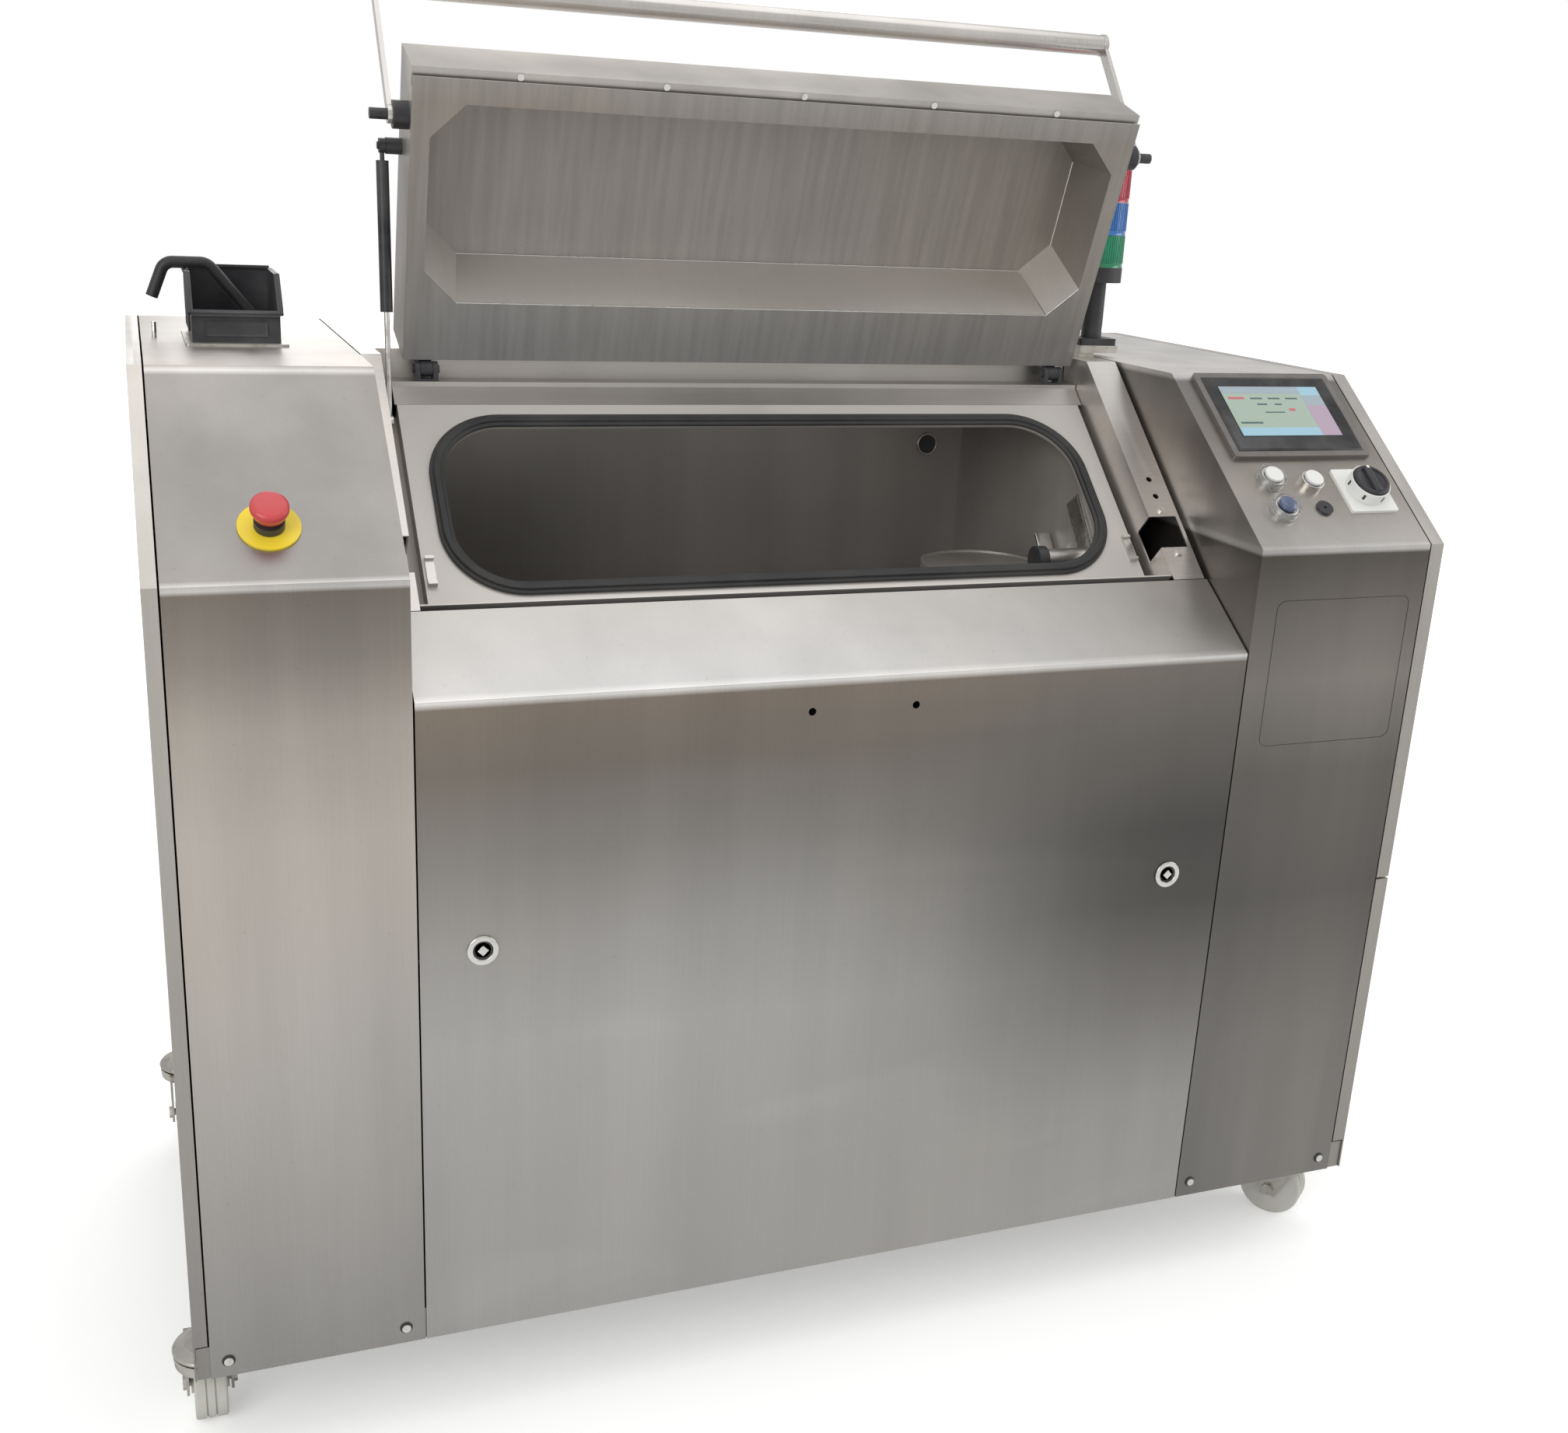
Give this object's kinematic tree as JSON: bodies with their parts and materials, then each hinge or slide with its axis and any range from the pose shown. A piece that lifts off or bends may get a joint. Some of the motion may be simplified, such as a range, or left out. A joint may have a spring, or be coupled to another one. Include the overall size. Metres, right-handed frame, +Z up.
{
  "type": "parts washer tank",
  "caption": "Stainless parts washer on casters with two console columns, a tilted wash opening, a hinged lid with a bail handle, a display, push buttons and a signal light.",
  "frame": {"origin": "on the floor under the middle of the cabinet", "axes": "+X to the operator's right, +Y to the back, +Z up; the lid is open at rest"},
  "size_m": [1.568, 0.835, 1.5994],
  "materials": {
    "stainless": "brushed stainless sheet, stained",
    "satin_steel": "bright satin stainless",
    "tank_steel": "stainless, wet and dull",
    "zinc_steel": "zinc plated pressed steel",
    "black_rubber": "black rubber",
    "black_plastic": "moulded black plastic",
    "white_plastic": "white moulded plastic",
    "grey_nylon": "grey nylon wheel",
    "dark_blue_plastic": "dark blue cap",
    "yellow_plastic": "yellow disc",
    "red_plastic": "red mushroom head",
    "lens_red": "red lens",
    "lens_blue": "blue lens",
    "lens_green": "green lens",
    "screen_glass": "display glass",
    "chrome": "bright metal",
    "painted_machine": "painted motor and pump"
  },
  "bodies": {
    "cabinet": {"base_frame": "zinc_steel", "button_rings": "chrome", "caster_plates": "zinc_steel", "clamp_bracket": "satin_steel", "control_gear": "white_plastic", "cover_screws": "chrome", "deck_brackets": "zinc_steel", "earth_jack": "black_plastic", "estop_collar": "black_plastic", "estop_disc": "yellow_plastic", "front_cover": "stainless", "hinge_brackets": "black_plastic", "hmi_bezel": "black_plastic", "hmi_screen": "screen_glass", "hook_rod": "black_rubber", "left_column_cover": "stainless", "left_rail": "satin_steel", "left_side_panel": "stainless", "parts_bin": "black_plastic", "pump_unit": "painted_machine", "rear_fittings": "zinc_steel", "rear_panel": "stainless", "recess_fittings": "satin_steel", "right_column_cover": "stainless", "right_lower_panel": "stainless", "right_rail": "satin_steel", "stack_lens_blue": "lens_blue", "stack_lens_green": "lens_green", "stack_lens_red": "lens_red", "stack_pole": "black_plastic", "sump_tank": "tank_steel", "switch_plate": "white_plastic", "tank_gasket": "black_rubber", "top_deck": "satin_steel", "wash_tank": "tank_steel"},
    "lid": {"lid_shell": "stainless", "lid_liner": "stainless", "lid_screws": "chrome", "lid_brackets": "satin_steel"},
    "handle": {"handle_bar": "satin_steel", "handle_arms": "satin_steel"},
    "strut_tube": {"strut_cylinder": "black_plastic"},
    "strut_shaft": {"strut_rod": "chrome"},
    "estop_button": {"estop_head": "red_plastic"},
    "button_a": {"button_upper_left": "white_plastic"},
    "button_b": {"button_upper_right": "white_plastic"},
    "button_c": {"button_lower_left": "dark_blue_plastic"},
    "main_switch": {"switch_knob": "black_plastic"},
    "lock_left": {"lock_insert_left": "chrome"},
    "lock_right": {"lock_insert_right": "chrome"},
    "door": {"right_door": "stainless"},
    "clamp_screw": {"clamp_knob": "black_plastic"},
    "swivel_front_left": {"caster_fork_front_left": "zinc_steel"},
    "wheel_front_left": {"caster_wheel_front_left": "grey_nylon"},
    "swivel_front_right": {"caster_fork_front_right": "zinc_steel"},
    "wheel_front_right": {"caster_wheel_front_right": "grey_nylon"},
    "swivel_rear_left": {"caster_fork_rear_left": "zinc_steel"},
    "wheel_rear_left": {"caster_wheel_rear_left": "grey_nylon"},
    "swivel_rear_right": {"caster_fork_rear_right": "zinc_steel"},
    "wheel_rear_right": {"caster_wheel_rear_right": "grey_nylon"}
  },
  "joints": [
    {"name": "lid_hinge", "type": "hinge", "parent": "cabinet", "child": "lid", "pos_m": [-0.01, -0.0083, 1.16655], "axis": [1, 0, 0], "range_deg": [0, 112.2]},
    {"name": "handle_swing", "type": "hinge", "parent": "lid", "child": "handle", "pos_m": [-0.01, -0.08511, 1.44688], "axis": [1, 0, 0], "range_deg": [0, 12]},
    {"name": "strut_swing", "type": "hinge", "parent": "lid", "child": "strut_tube", "pos_m": [-0.478, -0.03048, 1.41462], "axis": [-1, 0, 0], "range_deg": [0, 2.13]},
    {"name": "strut_slide", "type": "slide", "parent": "strut_tube", "child": "strut_shaft", "axis": [0, 0.0476, 0.9989], "range_m": [0, 0.11157]},
    {"name": "estop_push", "type": "slide", "parent": "cabinet", "child": "estop_button", "axis": [0, 0.6081, -0.7939], "range_m": [0, 0.005]},
    {"name": "button_a_push", "type": "slide", "parent": "cabinet", "child": "button_a", "axis": [0, 0.6081, -0.7939], "range_m": [0, 0.003], "stiffness_N_per_m": 300},
    {"name": "button_b_push", "type": "slide", "parent": "cabinet", "child": "button_b", "axis": [0, 0.6081, -0.7939], "range_m": [0, 0.003], "stiffness_N_per_m": 300},
    {"name": "button_c_push", "type": "slide", "parent": "cabinet", "child": "button_c", "axis": [0, 0.6081, -0.7939], "range_m": [0, 0.003], "stiffness_N_per_m": 300},
    {"name": "main_switch_turn", "type": "hinge", "parent": "cabinet", "child": "main_switch", "pos_m": [0.682, -0.33714, 1.06051], "axis": [0, 0.6081, -0.7939], "range_deg": [0, 90]},
    {"name": "lock_left_turn", "type": "hinge", "parent": "cabinet", "child": "lock_left", "pos_m": [-0.442, -0.407, 0.598], "axis": [0, 1, 0], "range_deg": [0, 90]},
    {"name": "lock_right_turn", "type": "hinge", "parent": "cabinet", "child": "lock_right", "pos_m": [0.412, -0.407, 0.598], "axis": [0, 1, 0], "range_deg": [0, 90]},
    {"name": "door_swing", "type": "hinge", "parent": "cabinet", "child": "door", "pos_m": [0.7643, 0.4073, 0.556], "axis": [0, 0, 1], "range_deg": [0, 100]},
    {"name": "clamp_turn", "type": "hinge", "parent": "cabinet", "child": "clamp_screw", "pos_m": [0.342, -0.15271, 0.94381], "axis": [1, 0, 0], "continuous": true},
    {"name": "swivel_front_left_turn", "type": "hinge", "parent": "cabinet", "child": "swivel_front_left", "pos_m": [-0.744, -0.335, 0.1057], "axis": [0, 0, 1], "continuous": true},
    {"name": "wheel_front_left_roll", "type": "hinge", "parent": "swivel_front_left", "child": "wheel_front_left", "pos_m": [-0.744, -0.308, 0.043], "axis": [1, 0, 0], "continuous": true},
    {"name": "swivel_front_right_turn", "type": "hinge", "parent": "cabinet", "child": "swivel_front_right", "pos_m": [0.744, -0.335, 0.1057], "axis": [0, 0, 1], "continuous": true},
    {"name": "wheel_front_right_roll", "type": "hinge", "parent": "swivel_front_right", "child": "wheel_front_right", "pos_m": [0.72738, -0.31372, 0.043], "axis": [0.788, 0.6157, 0], "continuous": true},
    {"name": "swivel_rear_left_turn", "type": "hinge", "parent": "cabinet", "child": "swivel_rear_left", "pos_m": [-0.744, 0.335, 0.1057], "axis": [0, 0, 1], "continuous": true},
    {"name": "wheel_rear_left_roll", "type": "hinge", "parent": "swivel_rear_left", "child": "wheel_rear_left", "pos_m": [-0.744, 0.308, 0.043], "axis": [-1, 0, 0], "continuous": true},
    {"name": "swivel_rear_right_turn", "type": "hinge", "parent": "cabinet", "child": "swivel_rear_right", "pos_m": [0.744, 0.335, 0.1057], "axis": [0, 0, 1], "continuous": true},
    {"name": "wheel_rear_right_roll", "type": "hinge", "parent": "swivel_rear_right", "child": "wheel_rear_right", "pos_m": [0.744, 0.308, 0.043], "axis": [-1, 0, 0], "continuous": true}
  ],
  "couplings": [
    {"joint": "strut_swing", "follows": "lid_hinge", "ratio": 0.018778},
    {"joint": "strut_slide", "follows": "lid_hinge", "m_per_rad": 0.056964}
  ]
}
